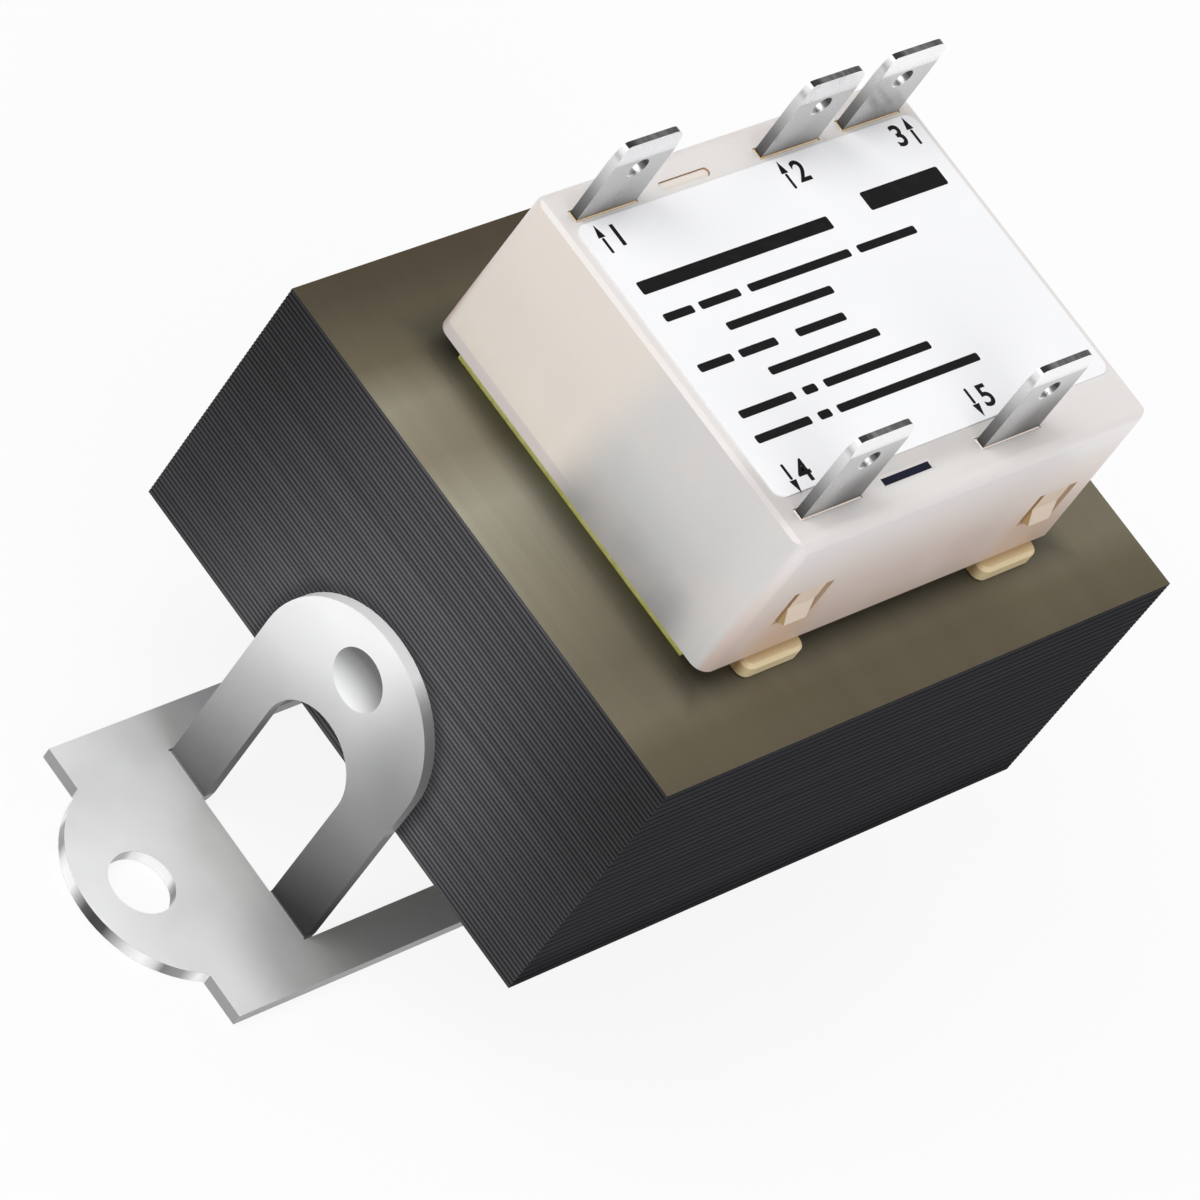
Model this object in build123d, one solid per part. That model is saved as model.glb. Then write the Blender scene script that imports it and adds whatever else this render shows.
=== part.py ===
from build123d import *
from math import pi
import os

# A foot-mounted control transformer with push-on terminals. All sizes are in millimetres.
# X runs from one mounting foot to the other, the secondary terminals are on the -Y side,
# and Z = 0 is the underside of the bracket, midway between its two holes.

# Laminated core. E and I sheets that leave no scrap are all in proportion to the centre leg
leg_w = 19.05
lamination_t = 0.4233
lamination_count = 60
groove_w = 0.13
groove_depth = 0.11

# Bracket, one sheet with a tongue cut out and bent up at each end
sheet_t = 1.1
bend_r = 0.2
neutral_share = 0.45
under_coil_gap = 4.395
plate_w = 25.6
hole_out = 11.125
hole_r = 2.8
end_inset = 0.15
ear_r = 9.55
ear_offset = 4.0
tongue_w = 18.1
tongue_reach = 12.7
lance_gap = 0.15
slot_w = 9.1
slot_reach = 2.3
weld_dish_r = 2.55
weld_dish_depth = 0.55
weld_below_crown = 5.1
weld_off_centre = 0.3

# Bobbin, one moulding round the centre leg
leg_clearance = 0.15
tube_wall = 1.0
tube_corner_r = 0.5
end_clearance = 0.1
flange_t = 0.6
divider_t = 1.0
divider_step = 0.6
window_clearance = 0.12
seat_clearance = 0.1
upright_t = 2.0
upright_inset = 0.93
shelf_h = 4.0
shelf_depth = 2.7
coil_headroom = 0.3
lead_channel_w = 1.6
foot_w = 6.5
foot_t = 1.3
foot_out = 2.2
foot_corner_r = 0.9
foot_bevel = 0.3
foot_inset = 5.63
foot_shift_x = 1.0
hook_w = 2.9
hook_h = 3.55
hook_out = 1.1
barb_w = 2.4
barb_h = 1.6
barb_out = 0.5
hook_inset = 5.13
hook_shift_x = 0.8
hook_top_gap = 0.6
spare_rib_drop = 0.15

# Windings, side by side, with their tape
wind_gap = 0.05
wrap_t = 0.25
tape_t = 0.4
tape_gap = 0.05

# Push-on terminals, 6.3 mm by 0.8 mm
tab_w = 6.35
tab_t = 0.8
tab_tip_t = 0.5
tab_bevel_h = 2.4
tab_corner = 0.7
primary_tab_out = 8.3
secondary_tab_out = 9.0
tab_hole_r = 0.9
tab_hole_below_tip = 3.6
tab_inset = 1.59
tab_end_inset = 4.33
tab_pitch = 9.2
pocket_depth = 3.4
pocket_gap = 0.05
ear_w = 1.7
ear_h = 1.3
ear_lift = 0.15
primary_wire_d = 0.5
secondary_wire_d = 0.8
lead_offset = 1.05
lead_turn = 0.4

# Terminal cover, one thin-walled moulding, open below
cover_wall = 0.95
cover_top_t = 1.1
cover_room = 1.9
cover_gap_x = 0.17
cover_gap_y = 0.24
cover_draft_x = 0.5
cover_draft_y = 0.05
cover_corner_r = 1.3
cover_crown_r = 1.0
cover_lip = 0.3
terminal_slot_gap = 0.15
spare_pitch = 8.75
spare_slot_l = 5.4
spare_slot_w = 0.8
hook_window_side = 0.75
hook_window_gap = 0.15
label_margin_x = 0.9
label_margin_y = 0.7
label_shift_x = 0.1
label_shift_y = 0.35
label_t = 0.12
label_corner_r = 1.0

# How far a cut runs past the face that it starts from
cut_margin = 1.0

# Places worked out from the sizes above
stack_h = lamination_t * lamination_count
core_x = 1.5 * leg_w
core_y = 1.25 * leg_w
window_y = 0.75 * leg_w
window_x0 = 0.5 * leg_w
window_x1 = leg_w

tube_out = leg_clearance + tube_wall
coil_x = window_x1 - window_clearance
coil_build = coil_x - window_x0 - tube_out
core_z0 = sheet_t + under_coil_gap + coil_build + tube_out
core_z1 = core_z0 + stack_h
core_mid_z = core_z0 + stack_h / 2

hole_x = core_x + hole_out
tongue_x = core_x + sheet_t
crown_z = core_z0 + tongue_reach
bend_x = tongue_x + bend_r
bend_allowance = (bend_r + neutral_share * sheet_t) * pi / 2
tongue_blank = crown_z - sheet_t - bend_r + bend_allowance
lance_x = bend_x - tongue_blank

bobbin_y = window_y - end_clearance
flange_in_y = bobbin_y - flange_t
wind_build = coil_build - tape_t - tape_gap - wrap_t - tape_gap
coil_top_z = core_z1 + tube_out + coil_build
shelf_z0 = coil_top_z + coil_headroom
shelf_z1 = shelf_z0 + shelf_h
seat_z = core_z1 + seat_clearance
upright_y = bobbin_y + upright_t - flange_t
upright_x = coil_x - upright_inset
shelf_y = upright_y - shelf_depth
foot_z = seat_z + foot_t
foot_x = coil_x - foot_inset
hook_x = coil_x - hook_inset
hook_z1 = shelf_z0 - hook_top_gap
hook_z0 = hook_z1 - hook_h

tab_z0 = shelf_z1 - pocket_depth
tab_y = upright_y - tab_inset
tab_outer_x = coil_x - tab_end_inset
tab_inner_x = tab_outer_x - tab_pitch
spare_x = spare_pitch - tab_outer_x
lead_y = tab_y - tab_t / 2 - lead_offset

cover_in_z = shelf_z1 + cover_room
cover_z1 = cover_in_z + cover_top_t
cover_h = cover_z1 - foot_z
cover_foot_x = coil_x + cover_gap_x + cover_wall
cover_foot_y = upright_y + cover_gap_y + cover_wall
label_l = 2 * (cover_foot_x - cover_draft_x - label_margin_x)
label_w = 2 * (tab_y - tab_t / 2 - terminal_slot_gap - label_margin_y)


def between(x, y, z):
    """Box between the given pairs of limits."""
    middle = Pos((x[0] + x[1]) / 2, (y[0] + y[1]) / 2, (z[0] + z[1]) / 2)
    return middle * Box(x[1] - x[0], y[1] - y[0], z[1] - z[0])


def along_y(sketch, y0, y1):
    """Sketch with its own axes on X and Z, extruded from y0 to y1."""
    plane = Plane(origin=(0, y1, 0), x_dir=(1, 0, 0), z_dir=(0, -1, 0))
    return extrude(plane * sketch, y1 - y0)


def along_x(sketch, x0, x1):
    """Sketch with its own axes on Y and Z, extruded from x0 to x1."""
    plane = Plane(origin=(x0, 0, 0), x_dir=(0, 1, 0), z_dir=(1, 0, 0))
    return extrude(plane * sketch, x1 - x0)


def upright_prism(sketch, z0, z1):
    """Sketch in plan, extruded from z0 to z1."""
    return extrude(Pos(0, 0, z0) * sketch, z1 - z0)


# Core

def grooved_face(half_w):
    """Side view of the stack, with a fine groove between each sheet and the next."""
    joints = [core_z0 + lamination_t * k for k in range(1, lamination_count)]
    right = []
    for z in joints:
        right += [(half_w, z - groove_w / 2), (half_w - groove_depth, z), (half_w, z + groove_w / 2)]
    left = [(-u, z) for u, z in reversed(right)]
    base = [(-half_w, core_z0), (half_w, core_z0)]
    top = [(half_w, core_z1), (-half_w, core_z1)]
    return make_face(Polyline(base + right + top + left, close=True))


def grooved_block():
    sides = along_y(grooved_face(core_x), -core_y - cut_margin, core_y + cut_margin)
    ends = along_x(grooved_face(core_y), -core_x - cut_margin, core_x + cut_margin)
    return sides & ends


def make_e_stack(block):
    spine_and_legs = between((-core_x, core_x), (-core_y, window_y), (core_z0, core_z1))
    stack = block & spine_and_legs
    for side in (-1, 1):
        x = sorted((side * window_x0, side * window_x1))
        stack -= between(x, (-window_y, core_y), (core_z0 - cut_margin, core_z1 + cut_margin))
    return stack


def make_i_stack(block):
    return block & between((-core_x, core_x), (window_y, core_y), (core_z0, core_z1))


# Bracket

def bracket_outline():
    """Plan of the flat sheet: a straight strip with a round ear at each end."""
    half_l = hole_x - end_inset
    strip = Rectangle(2 * half_l, plate_w)
    for side in (-1, 1):
        strip += Pos(side * (hole_x - ear_offset), 0) * Circle(ear_r)
    return strip


def lance_window(side):
    """Opening that the tongue leaves in the sheet when it is bent up."""
    half_w = tongue_w / 2 + lance_gap
    arc_x = lance_x - lance_gap + half_w
    straight = Pos((arc_x + bend_x) / 2, 0) * Rectangle(bend_x - arc_x, 2 * half_w)
    opening = straight + Pos(arc_x, 0) * Circle(half_w)
    if side < 0:
        opening = mirror(opening, Plane.YZ)
    return opening


def tongue(side):
    """Upright tongue with a round crown and an arched slot, rising from its bend."""
    half_w = tongue_w / 2
    arc_z = crown_z - half_w
    face = Pos(0, (arc_z + bend_x - core_x) / 2) * Rectangle(tongue_w, arc_z - (bend_x - core_x))
    face += Pos(0, arc_z) * Circle(half_w)
    lower = sheet_t + bend_r
    upright = along_x(face, core_x, tongue_x) & between((0, 2 * core_x), (-half_w, half_w), (lower, crown_z))
    quarter = Pos(bend_x, lower) * (Circle(bend_r + sheet_t) - Circle(bend_r))
    quarter &= Pos(bend_x - lower / 2, lower / 2) * Rectangle(lower, lower)
    piece = upright + along_y(quarter, -half_w, half_w)
    slot_z = core_z0 + slot_reach - slot_w / 2
    slot = Pos(0, slot_z / 2) * Rectangle(slot_w, slot_z) + Pos(0, slot_z) * Circle(slot_w / 2)
    piece -= along_x(slot, core_x - cut_margin, bend_x)
    dish_r = (weld_dish_r ** 2 + weld_dish_depth ** 2) / (2 * weld_dish_depth)
    dish_x = tongue_x - weld_dish_depth + dish_r
    piece -= Pos(dish_x, weld_off_centre, crown_z - weld_below_crown) * Sphere(dish_r)
    if side < 0:
        piece = mirror(piece, Plane.YZ)
    return piece


def make_bracket():
    outline = bracket_outline()
    for side in (-1, 1):
        outline -= lance_window(side)
        outline -= Pos(side * hole_x, 0) * Circle(hole_r)
    bracket = upright_prism(outline, 0, sheet_t)
    for side in (-1, 1):
        bracket += tongue(side)
    return bracket


# Coil

def leg_ring(build):
    """Section round the centre leg, grown outwards from the bobbin's tube by a given build."""
    half_x = window_x0 + tube_out + build
    half_z = stack_h / 2 + tube_out + build
    return Pos(0, core_mid_z) * RectangleRounded(2 * half_x, 2 * half_z, tube_corner_r + build)


def coil_layer(inner, outer, y0, y1):
    return along_y(leg_ring(outer) - leg_ring(inner), y0, y1)


def lead_x(x):
    """Each lead meets its terminal on the side that faces the middle of the coil."""
    toward_middle = -1 if x > 0 else 1
    return x + toward_middle * (tab_w / 2 + ear_w / 2)


def make_winding(row):
    edges = sorted((row * (divider_t / 2 + wind_gap), row * (flange_in_y - wind_gap)))
    return coil_layer(wind_gap, wind_build, edges[0], edges[1])


def lead_notch(row, x):
    """Gap in the tape's edge that lets a lead rise beside the flange."""
    half_w = lead_channel_w / 2
    y = sorted((row * (lead_y - half_w), row * bobbin_y))
    return between((lead_x(x) - half_w, lead_x(x) + half_w), y, (core_z1, shelf_z1))


def make_wrap(row, xs):
    edges = sorted((row * (divider_t / 2 + wind_gap), row * (flange_in_y - wind_gap)))
    wrap = coil_layer(wind_build + tape_gap, wind_build + tape_gap + wrap_t, edges[0], edges[1])
    for x in xs:
        wrap -= lead_notch(row, x)
    return wrap


def make_outer_tape():
    """Tape over the whole coil and the edges of both flanges, cut out round the upright walls."""
    tape = coil_layer(coil_build - tape_t, coil_build, -bobbin_y, bobbin_y)
    half_x = upright_x + tape_gap
    for row, xs in terminal_rows.items():
        y = sorted((row * (flange_in_y - tape_gap), row * core_y))
        tape -= between((-half_x, half_x), y, (seat_z - tape_gap, shelf_z1))
        for x in xs:
            tape -= lead_notch(row, x)
    return tape


# Bobbin

def upper_end(row):
    """Upright wall, terminal shelf, feet and snap hooks at one end, above the core."""
    wide = (-upright_x, upright_x)
    end = between(wide, sorted((row * flange_in_y, row * upright_y)), (seat_z, shelf_z1))
    end += between(wide, sorted((row * shelf_y, row * upright_y)), (shelf_z0, shelf_z1))
    for side in (-1, 1):
        end += foot(row, side * foot_x + foot_shift_x)
        end += snap_hook(row, side * hook_x + hook_shift_x)
    return end


def foot(row, x):
    """Lug that carries the cover's edge, with round corners and a bevelled rim."""
    place = Pos(x, row * (upright_y + (foot_out - upright_t) / 2))
    lug = upright_prism(place * RectangleRounded(foot_w, foot_out + upright_t, foot_corner_r), seat_z, foot_z)
    return chamfer(lug.edges().group_by(Axis.Z)[-1], foot_bevel)


def snap_hook(row, x):
    """Tongue in the cover's window, with a barb at its foot that stands over the window's edge."""
    y0 = upright_y - upright_t / 2
    face_y = upright_y + hook_out
    tip_y = face_y + barb_out
    side = [(y0, hook_z0), (tip_y, hook_z0), (face_y, hook_z0 + barb_h), (face_y, hook_z1), (y0, hook_z1)]
    hook = along_x(make_face(Polyline(side, close=True)), x - hook_w / 2, x + hook_w / 2)
    plan = [(-hook_w / 2, y0), (-hook_w / 2, face_y), (-barb_w / 2, tip_y)]
    plan += [(-u, y) for u, y in reversed(plan)]
    hook &= upright_prism(Pos(x, 0) * make_face(Polyline(plan, close=True)), hook_z0, hook_z1)
    return hook if row > 0 else mirror(hook, Plane.XZ)


def blade_pocket(row, x, width):
    """Blind pocket in the shelf that a blade is pushed into."""
    half_w = width / 2
    half_t = tab_t / 2 + pocket_gap
    y = sorted((row * (tab_y - half_t), row * (tab_y + half_t)))
    return between((x - half_w, x + half_w), y, (tab_z0, shelf_z1 + cut_margin))


def make_bobbin():
    flange = leg_ring(coil_build - tape_t - tape_gap)
    bobbin = along_y(leg_ring(0), -bobbin_y, bobbin_y)
    bobbin += along_y(leg_ring(wind_build - divider_step), -divider_t / 2, divider_t / 2)
    for row, xs in terminal_rows.items():
        edges = sorted((row * flange_in_y, row * bobbin_y))
        bobbin += along_y(flange, edges[0], edges[1])
        bobbin += upper_end(row)
        for x in xs:
            bobbin -= blade_pocket(row, x, tab_w + 2 * pocket_gap)
            bobbin -= lead_channel(row, x)
    bobbin -= blade_pocket(-1, spare_x, spare_slot_l)
    bobbin += spare_rib(1, spare_x)
    leg_bore = Pos(0, core_mid_z) * Rectangle(leg_w + 2 * leg_clearance, stack_h + 2 * leg_clearance)
    bobbin -= along_y(leg_bore, -core_y, core_y)
    return bobbin


def lead_channel(row, x):
    """Way up through the terminal shelf for one lead."""
    half_w = lead_channel_w / 2
    y = sorted((row * (lead_y - half_w), row * (lead_y + half_w)))
    height = (shelf_z0 - cut_margin, shelf_z1 + cut_margin)
    return between((lead_x(x) - half_w, lead_x(x) + half_w), y, height)


def spare_rib(row, x):
    """Rib that fills the cover's spare slot in the primary row, a little below the top."""
    plan = SlotOverall(spare_slot_l - 2 * pocket_gap, spare_slot_w - 2 * pocket_gap)
    return upright_prism(Pos(x, row * tab_y) * plan, shelf_z1, cover_z1 - spare_rib_drop)


# Terminals and leads

def make_terminal(row, x, tab_out):
    """Flat blade with a bevelled tip and an ear that takes the lead."""
    tab_z1 = cover_z1 + tab_out
    blade = between((-tab_w / 2, tab_w / 2), (-tab_t / 2, tab_t / 2), (tab_z0, tab_z1))
    blade = chamfer(blade.edges().filter_by(Axis.Y).group_by(Axis.Z)[-1], tab_corner)
    nose = [(-tab_t / 2, tab_z0), (tab_t / 2, tab_z0), (tab_t / 2, tab_z1 - tab_bevel_h)]
    nose += [(tab_tip_t / 2, tab_z1), (-tab_tip_t / 2, tab_z1), (-tab_t / 2, tab_z1 - tab_bevel_h)]
    blade &= along_x(make_face(Polyline(nose, close=True)), -tab_w, tab_w)
    toward_middle = -1 if x > 0 else 1
    ear_x = sorted((0, toward_middle * (tab_w / 2 + ear_w)))
    ear_z = shelf_z1 + ear_lift
    blade += between(ear_x, (-tab_t / 2, tab_t / 2), (ear_z, ear_z + ear_h))
    blade -= Pos(0, 0, tab_z1 - tab_hole_below_tip) * Rot(90, 0, 0) * Cylinder(tab_hole_r, 2 * tab_t)
    return Pos(x, row * tab_y, 0) * blade


def make_lead(row, x, wire_d):
    """Wire from the top of the winding, up through the shelf, to the face of the terminal's ear."""
    start_z = core_z1 + tube_out + wind_build
    turn_z = shelf_z1 + ear_lift + ear_h / 2
    face_y = tab_y - tab_t / 2
    route = [(lead_y, start_z), (lead_y, turn_z - lead_turn)]
    route += [(lead_y + lead_turn, turn_z), (face_y, turn_z)]
    path = Polyline(*[(lead_x(x), row * y, z) for y, z in route])
    section = Plane(origin=path @ 0, z_dir=(0, 0, 1)) * Circle(wire_d / 2)
    return sweep(section, path=path, transition=Transition.RIGHT)


# Cover and label

def cover_block(inset, z1):
    """Block with drafted sides and rounded corners, shrunk by an inset on its four sides."""
    rise = (z1 - foot_z) / cover_h
    views = []
    for foot, draft in ((cover_foot_x, cover_draft_x), (cover_foot_y, cover_draft_y)):
        half_foot = foot - inset
        half_top = half_foot - draft * rise
        outline = [(-half_foot, foot_z), (half_foot, foot_z), (half_top, z1), (-half_top, z1)]
        views.append(make_face(Polyline(outline, close=True)))
    shell = along_y(views[0], -cover_foot_y, cover_foot_y) & along_x(views[1], -cover_foot_x, cover_foot_x)
    corners = shell.edges().filter_by(Axis.X, reverse=True).filter_by(Axis.Y, reverse=True)
    return fillet(corners, cover_corner_r - inset)


def cover_crown():
    """Side views of the cover: round along the terminal rows, bevelled along the plain sides."""
    top_y = cover_foot_y - cover_draft_y
    round_view = Pos(0, foot_z + cover_h / 2) * Rectangle(2 * cover_foot_y, cover_h)
    trim = Rectangle(2 * cover_crown_r, 2 * cover_crown_r)
    for side in (-1, 1):
        centre = Pos(side * (top_y - cover_crown_r), cover_z1 - cover_crown_r)
        outside = Pos(side * top_y, cover_z1) * trim
        outside -= centre * Circle(cover_crown_r)
        round_view -= outside
    top_x = cover_foot_x - cover_draft_x
    bevel = [(-cover_foot_x, foot_z), (cover_foot_x, foot_z), (cover_foot_x, cover_z1 - 2 * cover_lip)]
    bevel += [(top_x, cover_z1 - cover_lip), (top_x - cover_lip, cover_z1)]
    bevel += [(-u, z) for u, z in reversed(bevel[2:])]
    bevel_view = make_face(Polyline(bevel, close=True))
    rounded = along_x(round_view, -2 * cover_foot_x, 2 * cover_foot_x)
    return rounded & along_y(bevel_view, -2 * cover_foot_y, 2 * cover_foot_y)


def make_cover():
    cover = cover_block(0, cover_z1) & cover_crown()
    cover -= cover_block(cover_wall, cover_in_z)
    slot_l = tab_w + 2 * terminal_slot_gap
    slot_w = tab_t + 2 * terminal_slot_gap
    top = (cover_in_z - cut_margin, cover_z1 + cut_margin)
    for row, xs in terminal_rows.items():
        y = row * tab_y
        for x in xs:
            cover -= between((x - slot_l / 2, x + slot_l / 2), (y - slot_w / 2, y + slot_w / 2), top)
        spare = Pos(spare_x, y) * SlotOverall(spare_slot_l, spare_slot_w)
        cover -= upright_prism(spare, top[0], top[1])
        half_w = hook_w / 2 + hook_window_side
        wall = sorted((row * upright_y, row * (cover_foot_y + cut_margin)))
        height = (hook_z0 - hook_window_gap, hook_z1 + hook_window_gap)
        for side in (-1, 1):
            x = side * hook_x + hook_shift_x
            cover -= between((x - half_w, x + half_w), wall, height)
    return cover


def make_label():
    plan = Pos(label_shift_x, label_shift_y) * RectangleRounded(label_l, label_w, label_corner_r)
    return upright_prism(plan, cover_z1, cover_z1 + label_t)


terminal_rows = {1: (-tab_outer_x, tab_inner_x, tab_outer_x), -1: (-tab_outer_x, tab_inner_x)}
row_names = {1: "primary", -1: "secondary"}
wire_sizes = {1: primary_wire_d, -1: secondary_wire_d}
tab_lengths = {1: primary_tab_out, -1: secondary_tab_out}

block = grooved_block()
pieces = {
    "mounting_bracket": make_bracket(),
    "e_lamination_stack": make_e_stack(block),
    "i_lamination_stack": make_i_stack(block),
    "bobbin": make_bobbin(),
    "outer_coil_tape": make_outer_tape(),
    "terminal_cover": make_cover(),
    "cover_label": make_label(),
}
for row, xs in terminal_rows.items():
    name = row_names[row]
    pieces[name + "_winding"] = make_winding(row)
    pieces[name + "_winding_wrap"] = make_wrap(row, xs)
    for number, x in enumerate(xs, start=1):
        pieces[f"{name}_terminal_{number}"] = make_terminal(row, x, tab_lengths[row])
        pieces[f"{name}_lead_{number}"] = make_lead(row, x, wire_sizes[row])

os.makedirs("parts", exist_ok=True)
for name, piece in pieces.items():
    export_step(piece, f"parts/{name}.step")
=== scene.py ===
import math

import bmesh
import bpy
from mathutils import Matrix, Vector


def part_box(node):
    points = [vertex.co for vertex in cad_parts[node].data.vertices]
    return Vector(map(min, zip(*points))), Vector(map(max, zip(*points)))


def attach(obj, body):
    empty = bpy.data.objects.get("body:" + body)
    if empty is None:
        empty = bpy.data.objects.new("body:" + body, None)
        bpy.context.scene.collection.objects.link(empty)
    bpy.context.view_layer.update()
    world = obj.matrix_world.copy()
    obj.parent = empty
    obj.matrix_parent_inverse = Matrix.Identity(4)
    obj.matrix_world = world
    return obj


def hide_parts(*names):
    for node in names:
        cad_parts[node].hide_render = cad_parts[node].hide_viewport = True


# A control transformer: laminated core, upturned bracket, white cover and five push-on tabs.
# Everything is in metres and stands where the frame puts it.
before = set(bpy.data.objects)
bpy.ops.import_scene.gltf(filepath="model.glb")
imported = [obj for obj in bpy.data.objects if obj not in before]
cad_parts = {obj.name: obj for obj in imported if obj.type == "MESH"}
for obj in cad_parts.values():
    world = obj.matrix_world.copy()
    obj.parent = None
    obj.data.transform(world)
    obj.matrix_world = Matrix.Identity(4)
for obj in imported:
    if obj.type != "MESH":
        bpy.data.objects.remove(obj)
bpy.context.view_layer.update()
millimetre = 0.001


# small helpers for the node trees

def tone(red, green, blue):
    # a colour as a screen shows it, turned into Blender's linear values
    linear = []
    for part in (red, green, blue):
        part = part / 255
        linear.append(part / 12.92 if part <= 0.04045 else ((part + 0.055) / 1.055) ** 2.4)
    return (*linear, 1.0)


def grey(level):
    return tone(level, level, level)


def put(tree, kind, values=None, **options):
    # one node, with its options set and its inputs either filled in or linked
    node = tree.nodes.new(kind)
    for key, value in options.items():
        setattr(node, key, value)
    for socket, value in (values or {}).items():
        if isinstance(value, bpy.types.NodeSocket):
            tree.links.new(value, node.inputs[socket])
        else:
            node.inputs[socket].default_value = value
    return node


def calc(tree, operation, first, second=0.0, third=0.0):
    values = {0: first, 1: second}
    if operation == "MULTIPLY_ADD":
        values[2] = third
    return put(tree, "ShaderNodeMath", values, operation=operation).outputs[0]


def rise(tree, value, start, end, low=0.0, high=1.0):
    # a smooth step from low to high while the value goes from start to end
    if start > end:
        start, end, low, high = end, start, high, low
    values = {"Value": value, "From Min": start, "From Max": end, "To Min": low, "To Max": high}
    return put(tree, "ShaderNodeMapRange", values, interpolation_type="SMOOTHSTEP").outputs["Result"]


def share(tree, value, low, high):
    # where a coordinate stands between two limits, from 0 to 1
    values = {"Value": value, "From Min": low, "From Max": high}
    return put(tree, "ShaderNodeMapRange", values).outputs["Result"]


def between(tree, value, low, high):
    # 1 inside two limits and 0 outside them
    above = calc(tree, "GREATER_THAN", value, low)
    return calc(tree, "MULTIPLY", above, calc(tree, "LESS_THAN", value, high))


def offFrom(tree, value, middle):
    # how far a value lies from a middle, on either side of it
    return calc(tree, "ABSOLUTE", calc(tree, "SUBTRACT", value, middle))


def reach(tree, first, second):
    # the length of the long side over two offsets
    squares = calc(tree, "ADD", calc(tree, "POWER", first, 2.0), calc(tree, "POWER", second, 2.0))
    return calc(tree, "SQRT", squares)


def allOf(tree, *masks):
    product = masks[0]
    for mask in masks[1:]:
        product = calc(tree, "MULTIPLY", product, mask)
    return product


def mixTones(tree, amount, first, second, blend="MIX"):
    node = put(tree, "ShaderNodeMix", {0: amount, 6: first, 7: second}, data_type="RGBA", blend_type=blend)
    return node.outputs[2]


def dim(tree, colour, amount):
    # the colour made darker or lighter by a plain factor
    factor = put(tree, "ShaderNodeCombineXYZ", {0: amount, 1: amount, 2: amount}).outputs[0]
    return mixTones(tree, 1.0, colour, factor, "MULTIPLY")


def speckle(tree, place, scale, detail=2.0, stretched=(1, 1, 1), roughness=0.5):
    mapping = put(tree, "ShaderNodeMapping", {"Vector": place, "Scale": stretched})
    values = {"Vector": mapping.outputs[0], "Scale": scale, "Detail": detail, "Roughness": roughness}
    return put(tree, "ShaderNodeTexNoise", values).outputs["Fac"]


def toneRamp(tree, value, stops):
    # stops are (place, colour) pairs, with the value already between 0 and 1
    node = put(tree, "ShaderNodeValToRGB", {"Fac": value})
    ramp = node.color_ramp
    while len(ramp.elements) < len(stops):
        ramp.elements.new(0.5)
    for element, (place, colour) in zip(ramp.elements, stops):
        element.position = place
        element.color = colour
    return node.outputs["Color"]


class Finish:
    # a material with its tree, its shader and the object's own coordinates at hand
    def __init__(self, name, settings):
        self.material = bpy.data.materials.new(name)
        self.material.use_nodes = True
        self.tree = self.material.node_tree
        self.shader = self.tree.nodes["Principled BSDF"]
        for socket in ("Metallic", "Roughness", "Specular IOR Level",
                       "Subsurface Weight", "Subsurface Scale"):
            if socket in settings:
                self.shader.inputs[socket].default_value = settings[socket]
        coords = self.tree.nodes.new("ShaderNodeTexCoord")
        self.place = coords.outputs["Object"]
        parts = put(self.tree, "ShaderNodeSeparateXYZ", {0: self.place})
        self.x, self.y, self.z = parts.outputs
        facing = put(self.tree, "ShaderNodeSeparateXYZ", {0: coords.outputs["Normal"]})
        faceX, faceY, self.faceZ = facing.outputs
        self.toX = calc(self.tree, "ABSOLUTE", faceX)
        self.toY = calc(self.tree, "ABSOLUTE", faceY)

    def within(self, limits):
        # 1 inside a box, which is given by its limits along two or three of the axes
        sides = {"x": self.x, "y": self.y, "z": self.z}
        return allOf(self.tree, *[between(self.tree, sides[axis], *limits[axis]) for axis in limits])

    def colour(self, socket):
        self.tree.links.new(socket, self.shader.inputs["Base Color"])

    def roughness(self, socket):
        self.tree.links.new(socket, self.shader.inputs["Roughness"])

    def metal(self, socket):
        self.tree.links.new(socket, self.shader.inputs["Metallic"])

    def bump(self, height, strength, distance):
        values = {"Height": height, "Strength": strength, "Distance": distance}
        node = put(self.tree, "ShaderNodeBump", values)
        self.tree.links.new(node.outputs["Normal"], self.shader.inputs["Normal"])

    def give(self, *nodes):
        for name in nodes:
            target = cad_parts[name]
            target.data.materials.clear()
            target.data.materials.append(self.material)


# small helpers for the new pieces, which are drawn in millimetres

def roundOff(mesh, parts, offset, segments, affect="EDGES"):
    return bmesh.ops.bevel(mesh, geom=parts, offset=offset, offset_type="OFFSET", segments=segments,
                           affect=affect, profile=0.5, material=-1)


def intoMetres(mesh):
    # the last step of a shape, with its faces turned outwards
    bmesh.ops.scale(mesh, vec=(millimetre,) * 3, verts=mesh.verts)
    bmesh.ops.recalc_face_normals(mesh, faces=mesh.faces)


def newPiece(name, mesh):
    data = bpy.data.meshes.new(name)
    mesh.to_mesh(data)
    mesh.free()
    piece = bpy.data.objects.new(name, data)
    bpy.context.scene.collection.objects.link(piece)
    return piece


# core steel: dark oxide on the cut edges of the sheets with painted shade, brushed olive oxide on the top
# sheet with painted glare bands

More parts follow.
